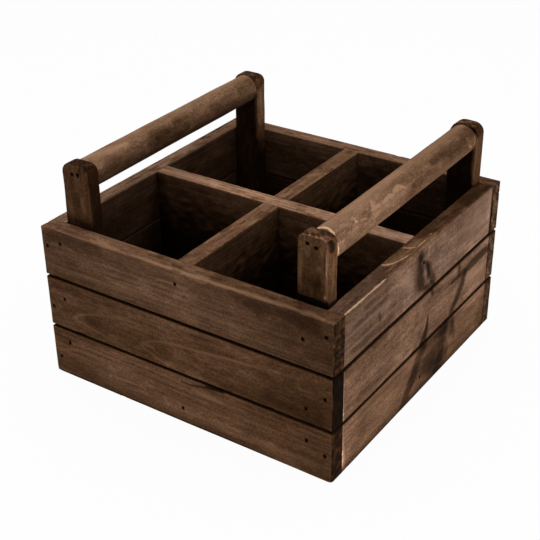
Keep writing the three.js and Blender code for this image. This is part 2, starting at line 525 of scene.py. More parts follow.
class Graph:
    """Shader nodes of a material or of the world."""

    def __init__(self, owner):
        owner.use_nodes = True
        self.owner = owner
        self.tree = owner.node_tree
        self.tree.nodes.clear()

    def add(self, kind, inputs, **settings):
        """A node with settings. Each input is a socket to link or a value."""
        made = self.tree.nodes.new("ShaderNode" + kind)
        for name, value in settings.items():
            setattr(made, name, value)
        for key, value in inputs.items():
            if isinstance(value, bpy.types.NodeSocket):
                self.tree.links.new(value, made.inputs[key])
            else:
                made.inputs[key].default_value = value
        return made

    def math(self, operation, a, b=0.0, c=0.0):
        return self.add("Math", {0: a, 1: b, 2: c}, operation=operation).outputs[0]

    def times(self, *values):
        return reduce(partial(self.math, "MULTIPLY"), values)

    def total(self, *values):
        """A sum. Each value is a socket, a number or a pair of a socket and its weight."""
        terms = [self.times(*value) if isinstance(value, tuple) else value for value in values]
        return reduce(partial(self.math, "ADD"), terms)

    def field(self, name, part="Fac"):
        """A point attribute of the mesh."""
        return self.add("Attribute", {}, attribute_name=name).outputs[part]

    def noise(self, vector, size, detail, roughness):
        """Noise, as a swing of about -0.5 to 0.5, whose grain has the given size along l, t and n."""
        scale = [1 / length for length in size]
        scaled = self.add("VectorMath", {0: vector, 1: scale}, operation="MULTIPLY").outputs[0]
        inputs = {"Vector": scaled, "Scale": 1.0, "Detail": detail, "Roughness": roughness}
        return self.math("SUBTRACT", self.add("TexNoise", inputs).outputs[0], 0.5)

    def step(self, value, low, high):
        """0 below low, 1 above high, and a soft step between."""
        inputs = {"Value": value, "From Min": low, "From Max": high}
        return self.add("MapRange", inputs, interpolation_type="SMOOTHSTEP").outputs[0]

    def mix(self, factor, a, b):
        return self.add("Mix", {0: factor, 6: a, 7: b}, data_type="RGBA").outputs[2]

    def backdrop(self):
        """1 on rays that show the background: from the camera, off a gloss or through glass."""
        path = self.add("LightPath", {}).outputs
        shown = self.math("MAXIMUM", path["Is Camera Ray"], path["Is Glossy Ray"])
        return self.math("MAXIMUM", shown, path["Is Transmission Ray"])


# Noises of the wood: the size of their grain along l, t and n, their detail and their roughness
FIBRE = ((50, 1.9, 1.9), 4, 0.62)
PORES = ((5, 0.5, 0.5), 2, 0.5)
SPECKLE = ((1.8, 1.3, 1.3), 3, 0.6)
BLOTCH = ((36, 12, 12), 4, 0.6)
MOTTLE = ((7, 3, 3), 5, 0.65)
RAGGED = ((4.4, 2, 2), 4, 0.7)
FLAKE = ((2.4, 1.3, 1.3), 3, 0.6)
TINT = ((8, 5, 5), 4, 0.65)
SAW = ((4, 7, 5), 2, 0.5)

# Stain: how strongly the noises show in it, how much of the figure a full shade hides, and the growth rings
STAIN_MIDDLE = 0.5
FIBRE_SHARE = 0.75
PORE_SHARE = 0.6
SPECKLE_SHARE = 1.15
BLOTCH_SHARE = 1.1
FIGURE_LOSS = -0.8
RING_WAVER = 0.5
RING_RISE = (0.3, 0.9)
RING_FALL = (0.9, 1.0)

# Light streaks and ink-dark figure, broken up by the noises
STREAK_BREAK = 1.2
INK_BREAK = 0.4
INK_STEP = (0.05, 0.95)
INK_COVER = 0.9

# Sawn ends: lightness by the marks of the saw and by the rings
SAW_STEP = (-0.1, 0.22)
SAWN_LEAST = 0.03
SAW_SHARE = 0.55
SAWN_RING = 0.15
SAWN_RING_BREAK = 0.7

# Rubbed arrises, within a distance in mm, and worn and torn spots
ARRIS_STEP = (0.3, 2.0)
ARRIS_SHARE = 0.3
RAGGED_SHARE = 1.3
FLAKE_SHARE = 0.9
RUBBED_STEP = (0.62, 0.82)
WORN_STEP = (0.34, 0.5)
RUBBED_COVER = 0.6
WORN_COVER = 0.8
TORN_COVER = 0.85

# Shades are cloudy. Colour is richer where the shade is deeper, from thicker stain and painted shade, and
# duller under grey, from faded wood and painted sheen
CLOUD_BREAK = 1.2
SHADE_RICHNESS = 0.12
GREY_LOSS = -0.5
PLAIN_HUE = 0.5
TINT_SWING = 0.05

# Surface: its relief, with a depth in metres, and its gloss
RELIEF = dict(fibre=0.8, pores=0.5, torn=-0.5)
RELIEF_STRENGTH = 0.35
RELIEF_DISTANCE = 0.0005
ROUGHNESS = 0.7
ROUGHNESS_SWING = 0.25
SPECULAR = 0.01


def wood_material(name, base, thin, stripes, mottling, wear):
    """Stained pine: fibres, growth rings, uneven stain and painted shade, marks, sawn ends and rubbed
    arrises.

    stripes and mottling are how strongly its fibres and its blotches show. wear is how far its arrises
    are rubbed to the bare wood.
    """
    g = Graph(bpy.data.materials.new(name))
    grain = g.field("grain", "Vector")
    shade = g.field("shade")
    fibre = g.noise(grain, *FIBRE)
    pores = g.noise(grain, *PORES)
    mottle = g.noise(grain, *MOTTLE)
    ragged = g.noise(grain, *RAGGED)

    shown = g.total(1.0, (shade, FIGURE_LOSS))
    figure = g.times(g.total((fibre, FIBRE_SHARE * stripes), (pores, PORE_SHARE * stripes)), shown)
    speckle = g.times(g.noise(grain, *SPECKLE), SPECKLE_SHARE)
    blotch = g.times(g.noise(grain, *BLOTCH), BLOTCH_SHARE)
    ramp = g.add("ValToRGB", {0: g.total(STAIN_MIDDLE, figure, speckle, blotch, (mottle, mottling))})
    ramp.color_ramp.elements[0].color = DEEP
    ramp.color_ramp.elements[1].color = thin
    ramp.color_ramp.elements.new(STAIN_MIDDLE).color = base
    colour = ramp.outputs[0]

    phase = g.math("FRACT", g.total(g.field("ring"), (fibre, RING_WAVER)))
    rings = g.math("SUBTRACT", g.step(phase, *RING_RISE), g.step(phase, *RING_FALL))
    colour = g.mix(g.times(rings, g.field("lines"), shown), colour, thin)
    streak = g.times(g.field("light"), g.total(1.0, (fibre, STREAK_BREAK), ragged))
    colour = g.mix(streak, colour, thin)

    inked = g.step(g.total(g.field("dark"), (fibre, INK_BREAK), (ragged, INK_BREAK)), *INK_STEP)
    colour = g.mix(g.times(inked, INK_COVER), colour, INK)
    saw_marks = g.step(g.noise(grain, *SAW), *SAW_STEP)
    sawn_rings = g.times(rings, g.total(SAWN_RING, (mottle, SAWN_RING_BREAK)))
    sawn = g.mix(g.total(SAWN_LEAST, (saw_marks, SAW_SHARE), sawn_rings), SAWN_DARK, SAWN_LIGHT)
    colour = g.mix(g.field("end"), colour, sawn)

    near = g.math("SUBTRACT", 1.0, g.step(g.field("edge"), *ARRIS_STEP))
    rough = g.total((near, ARRIS_SHARE), (ragged, RAGGED_SHARE))
    rubbed = g.times(g.step(rough, *(limit - wear for limit in RUBBED_STEP)), near)
    colour = g.mix(g.times(rubbed, RUBBED_COVER), colour, thin)
    spots = g.total((ragged, RAGGED_SHARE), (g.noise(grain, *FLAKE), FLAKE_SHARE))
    worn = g.step(g.total(g.field("worn"), spots), *WORN_STEP)
    colour = g.mix(g.times(worn, WORN_COVER), colour, thin)
    torn = g.step(g.total(g.field("pale"), spots), *WORN_STEP)
    colour = g.mix(g.times(torn, TORN_COVER), colour, BARE)

    # The shade field scales the value: uneven stain, and painted shade in gaps, nail pits and the inside, at
    # the posts' feet and under the handles
    uneven = g.times(g.math("SUBTRACT", 1.0, shade), g.total((mottle, CLOUD_BREAK), ragged))
    value = g.math("SUBTRACT", 1.0, g.times(shade, g.total(1.0, uneven)))
    saturation = g.total(1.0, (shade, SHADE_RICHNESS), (g.field("grey"), GREY_LOSS))
    hue = g.total(PLAIN_HUE, (g.noise(grain, *TINT), TINT_SWING))
    tone = {"Hue": hue, "Saturation": saturation, "Value": value, "Color": colour}
    colour = g.add("HueSaturation", tone).outputs[0]

    height = g.total((fibre, RELIEF["fibre"]), (pores, RELIEF["pores"]), (torn, RELIEF["torn"]))
    relief = {"Strength": RELIEF_STRENGTH, "Distance": RELIEF_DISTANCE, "Height": height}
    surface = {"Base Color": colour, "Roughness": g.total(ROUGHNESS, (fibre, ROUGHNESS_SWING)),
               "Normal": g.add("Bump", relief).outputs[0], "Specular IOR Level": SPECULAR}
    shader = g.add("BsdfPrincipled", surface)
    g.add("OutputMaterial", {"Surface": shader.outputs[0]})
    return g.owner


def area_light(name, place, aim, size, power):
    """A soft box at a place, in metres, turned to the point aim. size is its width and height."""
    lamp = bpy.data.lights.new(name, "AREA")
    lamp.shape = "RECTANGLE"
    lamp.size, lamp.size_y = size
    lamp.energy = power
    item = bpy.data.objects.new(name, lamp)
    bpy.context.collection.objects.link(item)
    item.location = place
    item.rotation_euler = (Vector(aim) - Vector(place)).to_track_quat("-Z", "Y").to_euler()


# Studio, in metres. FLOOR_GLOW is the share of plain white that the camera sees in the floor, and the rest
# keeps the shadow
FLOOR_REACH = 3.0
WHITE = (1, 1, 1, 1)
FLOOR_WHITE = (0.9, 0.9, 0.9, 1)
FLOOR_GLOW = 0.96
AMBIENT = 0.04
TOP_LIGHT = dict(place=(0, 0, 1.5), aim=(0, 0, 0), size=(2.8, 2.8), power=37)
SIDE_LIGHT = dict(place=(0.62, 0, 0.03), aim=(0, 0, 0.03), size=(1.2, 0.05), power=2.2)


def stage():
    """A pale floor that keeps the crate's shadow, white surroundings and two soft lights."""
    g = Graph(bpy.data.materials.new("floor_white"))
    paper = g.add("BsdfDiffuse", {"Color": FLOOR_WHITE})
    glow = g.add("Emission", {"Color": WHITE, "Strength": 1.0})
    share = g.times(g.backdrop(), FLOOR_GLOW)
    mixed = g.add("MixShader", {0: share, 1: paper.outputs[0], 2: glow.outputs[0]})
    g.add("OutputMaterial", {"Surface": mixed.outputs[0]})
    mesh = bpy.data.meshes.new("floor")
    corners = [(-1, -1), (1, -1), (1, 1), (-1, 1)]
    mesh.from_pydata([(x * FLOOR_REACH, y * FLOOR_REACH, 0) for x, y in corners], [], [(0, 1, 2, 3)])
    mesh.materials.append(g.owner)
    floor = bpy.data.objects.new("floor", mesh)
    bpy.context.collection.objects.link(floor)

    g = Graph(bpy.data.worlds.new("studio"))
    level = g.add("MapRange", {"Value": g.backdrop(), "To Min": AMBIENT, "To Max": 1.0})
    surroundings = g.add("Background", {"Color": WHITE, "Strength": level.outputs[0]})
    g.add("OutputWorld", {"Surface": surroundings.outputs[0]})
    bpy.context.scene.world = g.owner

    area_light("top_light", **TOP_LIGHT)
    area_light("side_light", **SIDE_LIGHT)


def photo_camera():
    """The photograph's viewpoint."""
    azimuth, elevation, roll = map(math.radians, (AZIMUTH, ELEVATION, ROLL))
    back = Vector((math.sin(azimuth) * math.cos(elevation),
                   -math.cos(azimuth) * math.cos(elevation),
                   math.sin(elevation)))
    level = Vector((0, 0, 1)).cross(back).normalized()
    upright = back.cross(level)
    right = math.cos(roll) * level + math.sin(roll) * upright
    up = math.cos(roll) * upright - math.sin(roll) * level
    data = bpy.data.cameras.new("photo_camera")
    data.lens = LENS
    data.sensor_width = SENSOR
    data.clip_start = CLIP_START * MM
    camera = bpy.data.objects.new("photo_camera", data)
    bpy.context.collection.objects.link(camera)
    turn = Matrix((right, up, back)).transposed().to_4x4()
    place = (right * SIDE_SHIFT + up * RISE_SHIFT + back * DISTANCE) * MM
    camera.matrix_world = Matrix.Translation(place) @ turn
    bpy.context.scene.camera = camera


# Colours of the wood: stain at its deepest, plain and thinnest, bare wood, dark figure and sawn ends
DEEP = linear(66, 44, 31)
BASE = linear(108, 76, 53)
THIN = linear(156, 116, 87)
BARE = linear(224, 180, 140)
HANDLE_BASE = linear(116, 86, 64)
HANDLE_THIN = linear(168, 130, 102)
INK = linear(24, 15, 10)
SAWN_DARK = linear(30, 19, 11)
SAWN_LIGHT = linear(118, 79, 50)

# Faces that lie in a gap or inside the crate are darkened with painted shade, most of all low down
GAP_SHADE = 0.8
INSIDE_SHADE = {"bottom": 0.75, "middle": 0.84, "top": 0.12}
FLOOR_SHADE = 0.7
INSIDE_DEPTH = 0.64
INSIDE_REACH = 45
INSIDE_SPAN = 115
DIVIDER_SHADE = 0.21
DIVIDER_DEPTH = 0.94
DIVIDER_REACH = 95
DIVIDER_DARK_LEVEL = 45

# Width of the ribs that a saw left on the ends of the front slats
END_RIB_WIDTH = 1.7


def end_ribs(strength, levels):
    """Dark ribs across a front slat's right end, each from one level to another."""
    low, high = box_of("front_slat_top")
    return [("shade", "l+", strength, [(start, low[1], END_RIB_WIDTH), (end, high[1], END_RIB_WIDTH)])
            for start, end in levels]


# Front wall. Marks and nails are (x, z) on its face, (x, y) on its rim, and x or z along its arrises. Its
# slats were sawn up to 1.2 mm over or under their CAD edges, which trim gives. ribs are on its right end
FRONT_BOTTOM_MARKS = {
    "light n+": [
        (0.5, (-120, 20.5, 1.4), (-106, 25, 1.8), (-92, 26.6), (-70, 25.8, 1.2)),
        (0.5, (-63, 25, 1.2), (-50, 24.6, 1.4), (-39, 24.4, 1)),
        (0.45, (-70, 16, 1.2), (-52, 16.2, 1.4), (-36, 16.4, 1)),
        (0.5, (-115.4, 35.4, 1.4), (-113.5, 35.2)), (0.3, (-90, 32, 1.3), (-60, 31)),
        (0.25, (-45, 29, 1.3), (0, 30)), (0.55, (12, 32, 2), (24, 31.5, 3.4), (35, 31, 2.4)),
        (0.6, (74.5, 13.4, 2.2), (77, 13.3)), (0.5, (43, 37.4, 1.6), (45, 37.2)),
    ],
    "dark n+": [(0.85, (-1, 35.4, 1.2), (8, 35.9, 1.6), (16, 37.6, 2.2), (25, 39.8, 2.8), (36, 41, 2.4))],
    "shade n+": [
        (0.4, (22, 40, 2.4), (36, 41, 3)), (0.3, (-119, 33, 6), (-110, 31)),
        (0.28, (70, 30, 24), (125, 20, 40)), (0.3, (-122, 12, 12), (-90, 12, 11)),
        (-0.3, (-68, 20, 7), (-38, 16, 8)), (-0.2, (-14, 14, 7), (12, 13, 6)),
        (-0.12, (70, 14, 12), (104, 16, 14)), (0.3, (84, 39.6, 5), (124, 39.6, 6)),
        (0.3, (-124, 39.6, 5), (-70, 39.6)), (0.28, (-125, 1.5, 6), (125, 1.5)),
    ],
    "shade t-n+": [(0.6, (-125, 0, 2.6), (-60, 0, 2.4), (76, 0, 2))],
    "worn t-n+": [(1, (78, 0, 1.2), (100, 0, 1.7), (122, 0, 1.2))],
}
FRONT_MIDDLE_MARKS = {
    "light n+": [
        (0.75, (-42, 71.6, 0.9), (-66, 68.3, 1.2), (-83, 64.6, 1.4), (-97, 59, 1.6), (-100, 56.3, 2),
         (-97, 54, 1.4), (-83, 51.4, 1.2), (-66, 48.4, 1.1), (-48, 45.4, 0.9)),
        (1, (-101, 56.2, 2.4), (-98.5, 56.5, 2)),
        (0.35, (-115, 72.4, 1), (-90, 73.6, 1.1), (-62, 76), (-50, 77.6, 0.9)),
        (0.8, (83, 74.4, 0.9), (41.6, 70.6, 1.2), (16.6, 67.8, 1.4), (-8, 65.4, 1.5), (-22, 62.8, 1.8),
         (-32, 58.4, 2), (-36, 55, 2.4), (-33, 52, 1.6), (-24, 49, 1.5), (-12, 45, 1.3)),
        (0.8, (-34, 56, 2.2), (-28, 56.5, 2.6), (-25, 55, 2)),
        (0.35, (-10, 64, 1.1), (-22, 60, 1.3), (-25, 55.5, 1.5), (-17, 50, 1.3), (-6, 45, 1.1)),
        (0.45, (24, 58.4, 1), (36, 61)),
    ],
    "shade n+": [
        (0.26, (-84, 60, 10), (-60, 60, 14), (-42, 58), (-12, 58, 8)), (0.28, (-76, 45.6, 6), (-30, 45.6)),
        (0.28, (40, 46, 8), (114, 47, 10)), (0.25, (-116, 79, 7), (-96, 79)),
        (0.25, (-110, 60, 6), (-102, 60, 5)), (-0.3, (-120, 70.6, 5), (-98, 70.6)),
        (-0.4, (-44, 80, 7), (20, 80.5, 8), (70, 79.6, 7)), (-0.3, (20, 66, 10), (44, 64, 12), (56, 66, 9)),
        (-0.4, (-12, 45.5, 5), (14, 45.5, 6)), (-0.35, (78, 73, 6), (98, 73.6)),
        (0.2, (80, 58, 12), (108, 55, 14)), (0.14, (40, 60, 50), (125, 60, 60)),
        (0.18, (90, 60, 34), (125, 60, 44)),
    ],
    "worn l+n+": [(0.55, (61, 0, 0.8), (67, 0, 1.3), (72, 0, 0.8))],
}
FRONT_TOP_MARKS = {
    "light n+": [
        (0.5, (-122, 95, 1.2), (-70, 95.8, 1.6), (-32, 96.4, 1)),
        (0.4, (-60, 99.6, 1.1), (0, 99.5, 1.3), (58, 99, 0.9)), (0.35, (-8, 91.5, 1.1), (25, 91.8)),
        (0.7, (-116, 115.6, 1), (-108, 116, 2), (-96, 115, 1)),
        (0.8, (-17, 116.2, 0.9), (-3, 116.2, 1.6), (9, 116.2, 0.9)),
    ],
    "dark n+": [(0.3, (-67.2, 117, 0.9), (-67.2, 102))],
    "shade n+": [
        (0.32, (-119, 122, 8), (-95, 121), (-70, 122, 6)), (0.14, (-80, 121, 8), (-6, 122)),
        (0.3, (-114, 88.4, 5), (-64, 88.4)), (0.25, (46, 125.6, 5), (114, 125.6)),
        (0.2, (82, 112, 9), (92, 108)), (-0.16, (-62, 105, 9), (-8, 105, 11)),
        (-0.3, (4, 108, 10), (44, 106, 11)), (-0.35, (48, 114.6, 6), (62, 114)),
        (0.22, (54, 120, 9), (66, 119.4, 11), (84, 121, 9), (100, 121, 10), (112, 121, 12)),
        (0.25, (58, 120, 5), (66, 119.6, 6), (84, 121.4, 4.4), (112, 121.6, 5)),
        (0.2, (40, 110, 40), (125, 105, 50)), (0.35, (104, 110, 26), (125, 105, 40)),
        (0.2, (-128, 108, 34), (-110, 106, 28)),
    ],
    "worn n+": [(0.85, (16, 125.6, 1), (21, 125, 1.8), (25, 125.6, 1))],
    "light t+": [
        (0.8, (-40, -123.8, 1.2), (0, -123.4, 1.6), (50, -122.8, 2.2), (75, -122.4, 2.8), (98, -121.8)),
        (0.5, (-110, -124.2, 1.2), (-45, -124.2)),
    ],
    "worn t+": [(0.7, (108, -122.8, 1.4), (113, -122.4, 1.8), (117, -123, 1.2))],
    "worn t+n+": [(0.6, (-20, 0, 1), (14, 0, 1.8), (24, 0), (35, 0, 1.2), (70, 0, 1))],
    "dark t+": [(0.5, (-62, -117, 1.4), (-57, -120))],
    "shade t+": [(0.2, (-40, -116, 9), (30, -116)), (0.4, (30, -116, 9), (125, -116, 12))],
    "worn l+n+": [(0.5, (92, 0, 0.9), (98, 0, 1.5), (104, 0, 0.9), (114, 0, 1.4), (120, 0, 0.9))],
}
FRONT_WALL = {
    "bottom": dict(
        grain=dict(pith=(-14, -16), spacing=3.4, lines=0.2), shades={"n+": -0.05, "l+": 0.48},
        trim={"t+": 0.4}, nails=[(-119.6, 14.3), (-108.8, 30.5), (-0.9, 12.9), (105, 28), (119.6, 21)],
        ribs=(0.55, [(2, 9), (8, 18), (15, 25), (24, 33), (33, 40)]),
        marks=FRONT_BOTTOM_MARKS),
    "middle": dict(
        grain=dict(pith=(-8, -18), spacing=5.2, slope=0.08, lines=0.12, sway=1.5),
        shades={"n+": 0.2, "l+": 0.88}, trim={"t-": -0.5, "t+": 1},
        nails=[(-121.2, 59.5), (-108.9, 68.8), (104.6, 54.4), (119, 67.4)],
        ribs=(0.4, [(50, 56), (62, 66), (72, 77)]),
        marks=FRONT_MIDDLE_MARKS),
    "top": dict(
        grain=dict(pith=(16, -15), spacing=2.8, lines=0.2, grey=0.1), shades={"n+": 0.09, "l+": 0.4},
        trim={"t-": -1.2},
        nails=[(-120.3, 111.7), (-107.5, 116.4), (-1.7, 116.4), (101.7, 108.4), (119.5, 115.9)],
        ribs=(0.6, [(93, 92), (99, 98.6), (105, 104), (113.5, 112), (119, 118)]),
        marks=FRONT_TOP_MARKS),
}

# Right wall. Marks and nails are (y, z) on its face, (y, x) on its rim and y along its arrises
RIGHT_BOTTOM_MARKS = {
    "shade n+": [
        (0.64, (4, 40, 10), (-2, 32), (-8, 23), (-13, 17, 9), (-19, 9), (-24, 0)),
        (0.4, (3, 40, 5), (9, 38, 4)),
        (0.68, (38, 40, 11), (36, 32, 12), (36, 22, 8), (35, 13), (32, 3, 12)),
        (0.55, (30, 38, 10), (48, 38), (53, 28, 7)), (0.5, (12, 40, 16), (16, 30, 19), (16, 20, 16)),
        (0.4, (24, 12, 14), (40, 10, 13), (42, 3, 8)), (0.45, (-6, 20, 14), (10, 14, 18), (24, 18, 16)),
        (0.22, (62, 18, 16), (86, 4, 8)), (0.4, (108, 12, 12), (116, 14, 24)),
        (0.42, (-113, 1, 6), (114, 1)),
        (0.42, (43, 38, 6), (41, 29, 8), (42, 22, 6), (45, 16, 8), (36, 12, 10), (28, 8, 8)),
        (0.2, (-12, 3, 6), (24, 3)), (-0.3, (76, 39.6, 7), (113, 39.6, 8)),
        (-0.25, (-108, 20, 20), (-98, 30, 14)), (0.2, (-96, 10, 9), (-84, 16, 8)),
        (0.4, (53, 35, 4), (57, 27, 4.5), (59, 20, 3)), (0.6, (113.4, 0, 1.6), (113.4, 42)),
    ],
    "light n+": [(0.7, (47.6, 36, 1.6), (46.8, 31, 1.4)), (0.4, (-6, 13, 4), (4, 10, 5), (10, 7, 4))],
    "dark n+": [(0.45, (-18.3, 37.8, 1.6), (-18.3, 37)), (0.45, (-21.6, 28.6, 1.8), (-21, 27.4))],
    "worn n+": [
        (1.2, (-111, 28, 1), (-110.2, 17, 2.2), (-109.8, 9, 2.8), (-110.4, 2, 2)),
        (0.9, (-111.2, 40, 0.9), (-111.2, 24, 1.1)),
    ],
    "pale n+": [(0.7, (-111, 19, 0.8), (-110.6, 12, 1.4), (-110.8, 6, 1.2))],
    "shade t-n+": [(0.5, (-112, 0, 2.6), (114, 0))],
}
RIGHT_MIDDLE_MARKS = {
    "shade n+": [
        (0.7, (116, 73, 5), (104, 73.4, 5.6), (84, 73, 6), (70, 72.6, 5), (58, 72.8, 3.4), (48, 73, 2.6)),
        (-0.4, (84, 81.6, 5), (114, 81)), (0.32, (-112, 81.4, 7), (-56, 81.4, 6)),
        (-0.3, (-40, 46, 6), (-16, 47, 7)), (0.22, (-44, 60.5, 5), (-16, 61.5), (-6, 71)),
        (0.2, (26, 45, 5), (40, 45)), (-0.25, (72, 52, 7), (98, 47, 9)), (-0.2, (-70, 55, 6), (-40, 55)),
        (0.28, (50, 74.5, 4.5), (36, 75, 5), (24, 75.4), (4, 74.6)),
        (0.62, (59.6, 85, 3.6), (60, 79, 3.8), (60, 74, 3.4)),
        (0.7, (71.4, 71, 6), (69, 66, 7), (65, 60), (58.6, 53, 6.2), (51, 45, 6.6)),
        (0.8, (9.6, 63.4, 1.4), (9.2, 57.6, 3.2), (7.8, 51, 5), (5.4, 46, 7), (2.6, 42, 8)),
        (0.3, (-1, 56, 4), (-3, 52.6)), (0.7, (12.6, 85, 3.4), (15, 81), (17, 79, 2)),
        (0.3, (22, 82, 5), (27, 78)), (0.2, (-100, 72, 5), (-40, 71.6), (-10, 73, 4)),
        (0.22, (-90, 51, 6), (-45, 51.6)), (0.5, (113.4, 42, 1.2), (113.4, 86)),
    ],
    "dark n+": [
        (0.3, (72, 70, 3.4), (68, 62), (59, 52), (51, 45, 3)),
        (0.5, (9.7, 61, 1.2), (9.2, 56, 2.4), (7.6, 50.6, 3), (5, 45.6)),
        (0.45, (-8, 46.4, 2.8), (-7.4, 44.6)), (0.5, (69.6, 48, 2), (70.2, 46.4)),
    ],
    "light n+": [
        (0.5, (7.6, 62, 1.6), (5, 54, 1.8)), (0.5, (52, 82, 3), (54, 79, 2)),
        (0.6, (76, 64, 7), (84, 61, 9), (104, 58)),
    ],
    "worn n+": [
        (0.85, (-111.2, 83, 0.8), (-111.2, 60, 0.9), (-111, 50, 1.2)),
        (1.1, (-111.2, 58, 0.9), (-110.8, 50, 1.6), (-110.6, 44, 2)),
    ],
    "pale n+": [(0.6, (-111.2, 53, 0.7), (-110.9, 48, 1.2), (-110.8, 44))],
}
RIGHT_TOP_MARKS = {
    # The grey on this slat's face is painted sheen
    "grey n+": [(0.38, (-112, 106, 70), (113, 106))],
    "light n+": [
        (0.5, (-110, 107, 1.4), (-50, 107)), (0.5, (-110, 96.7, 1.4), (-56, 96.6)),
        (0.4, (-108, 114.6, 1.4), (-58, 114.6)), (0.35, (-110, 122, 1.6), (-60, 121.5)),
        (0.3, (-110, 89.4, 1.2), (-70, 89.4)), (1, (-25.6, 118, 2), (-23, 117.4, 1.8)),
        (0.5, (-30, 112, 7), (-20, 104, 8)), (0.6, (7, 122, 2.6), (6.4, 116)),
        (0.45, (70, 108, 20), (112, 106, 22)), (0.6, (1.6, 106, 2), (4, 99, 2.2)),
        (0.9, (8, 94.6, 1.8), (9.4, 93)),
    ],
    "shade n+": [
        (0.3, (-100, 111, 2.6), (-70, 110.8, 3.2), (-40, 111, 2.6)), (0.28, (-90, 101.4, 3.4), (-42, 101)),
        (0.32, (-100, 92.6, 3.4), (-46, 92.5, 4)), (0.28, (-84, 118.5, 2.6), (-45, 118, 3)),
        (0.25, (-112, 106, 18), (-100, 106, 16)), (0.45, (-64.6, 103.4, 2), (-63, 96.4, 1.8)),
        (0.5, (-7, 121.6, 5), (-5.5, 119)), (0.34, (-10, 117, 7), (-9.6, 104, 8), (-9, 96, 7)),
        (0.3, (-110, 124.4, 6), (-58, 124.4)), (0.25, (-112, 87.6, 5), (-50, 87.6, 4.4)),
        (0.22, (-86, 114, 8), (-58, 112)), (0.22, (-84, 98, 6), (-62, 98)),
        (0.28, (54, 120, 8), (74, 118, 11)), (0.22, (58, 103, 7), (72, 103)), (0.6, (3, 89, 5), (15, 87.6)),
        (-0.35, (24, 96, 7), (40, 94, 9)), (-0.35, (-26, 90, 7), (-14, 93)),
        (-0.25, (80, 91, 8), (113, 90, 9)), (-0.35, (110.5, 118, 6), (110.5, 104)),
        (0.3, (-4, 121, 5), (0, 118.6, 4.4)),
        (0.66, (-6.4, 117, 6), (-5, 108, 7.4), (-4.4, 101, 8), (-2.6, 95, 7)),
        (0.2, (-12, 97, 5), (-14, 93)),
        (0.66, (3, 111, 3), (7.6, 104, 6), (10, 98, 6.4), (13, 94.6, 6), (17, 89, 5)),
        (0.35, (22.6, 96, 1.6), (24, 95.4)), (0.3, (16, 117, 2.6), (19, 116)),
        (0.2, (38, 120, 7), (56, 119, 8)), (0.5, (113, 86, 1.6), (113, 127)),
    ],
    "dark n+": [
        (0.6, (-8, 121.8, 3), (-5.2, 118.6)),
        (0.6, (-4, 110, 2), (-3.3, 100, 2.4), (-1.4, 94.6), (3.6, 90.4, 2.6), (9.5, 87.5, 3)),
        (0.85, (-0.8, 113, 1.6), (4.4, 109.6, 2.6), (7, 104.4, 3.4), (8.4, 98.6, 3.2)),
    ],
    "worn n+": [(0.8, (-111.2, 104, 0.7), (-111.2, 88, 1))],
    "pale t+n+": [(1.1, (-110, 0, 1), (-98, 0, 1.5), (-80, 0, 1), (-66, 0, 1.5), (-57, 0, 1))],
    "light t+": [(0.5, (-14, 114.5, 3), (2, 116.5, 3.4)), (0.6, (-40, 115, 3.6), (-24, 117.6))],
    "pale t+": [
        (0.75, (20, 119.6, 0.6), (8, 121, 0.8), (-4, 121, 1.1), (-10, 117.4, 1.4), (-12.4, 112.6, 1.6)),
        (0.8, (-17, 122.2, 0.8), (-27, 120.4, 1.2), (-36, 117.6, 1.8), (-41.6, 113, 2)),
    ],
    "dark t+": [(0.4, (10, 117.6, 1.2), (-4, 115.6))],
    "shade t+": [
        (0.14, (-100, 117, 8), (-50, 117)), (0.42, (10, 115, 6), (40, 117, 10), (76, 117, 12), (114, 117)),
        (0.35, (80, 117, 12), (114, 117)),
    ],
    "grey t+": [(0.3, (-110, 118, 24), (-60, 118))],
}
# The grain's grey on these slats stands for a painted sheen on their face
RIGHT_WALL = {
    "bottom": dict(
        grain=dict(pith=(70, -30), spacing=7, lines=0.12, grey=0.12), shades={"n+": 0.05},
        trim={"t+": -0.3}, nails=[(1.9, 13.6)],
        marks=RIGHT_BOTTOM_MARKS),
    "middle": dict(
        grain=dict(pith=(-90, -20), spacing=8, lines=0.12, grey=0.2), shades={"n+": 0.04},
        trim={"t+": -0.1, "n+": -0.3}, nails=[],
        marks=RIGHT_MIDDLE_MARKS),
    "top": dict(
        grain=dict(pith=(90, -10), spacing=7, lines=0.12, grey=0.03), shades={"n+": 0.07, "t+": 0.12},
        trim={"n+": -1}, nails=[(-0.9, 113.1)],
        marks=RIGHT_TOP_MARKS),
}

# Streaks on the outer faces of the back and left walls, and flecks on the edges that hands rub
STREAK_KINDS = {"light": (0.25, 0.5), "shade": (0.15, 0.35)}
STREAKS = dict(count=9, kinds=STREAK_KINDS, lengths=(30, 110), widths=(1.2, 4))
FLECK_KINDS = {"light": (0.4, 0.9), "shade": (0.2, 0.5)}
FLECKS = dict(count=44, kinds=FLECK_KINDS, lengths=(2, 12), widths=(1.2, 2.4))
STREAK_BEND = 1
HANDMADE_SEED = 11
FLECK_SEED = 5
fleck_rng = np.random.default_rng(FLECK_SEED)


def streaks(rng, node, face, along, across, style):
    """Light and dark streaks along a face of a board, drawn by the given generator of random numbers."""
    low, high = box_of(node)
    axis = "XYZ".index(along)
    cross = "XYZ".index(across)
    kinds = style["kinds"]
    marks = []
    for index in range(style["count"]):
        kind = list(kinds)[index % len(kinds)]
        start = rng.uniform(low[axis], high[axis])
        end = start + rng.choice((-1, 1)) * rng.uniform(*style["lengths"])
        level = rng.uniform(low[cross], high[cross])
        width = rng.uniform(*style["widths"])
        ends = np.clip((start, end), low[axis], high[axis])
        bend = level + rng.uniform(-STREAK_BEND, STREAK_BEND)
        path = [(ends[0], level, width), (ends.mean(), bend, width), (ends[1], level, width)]
        marks.append((kind, face, rng.uniform(*kinds[kind]), path))
    return marks


def depth_mark(face, level, reach, strength):
    """Painted shade that darkens an inside face towards a level near the bottom."""
    return ("shade", face, strength, [(-INSIDE_SPAN, level, reach), (INSIDE_SPAN, level, reach)])


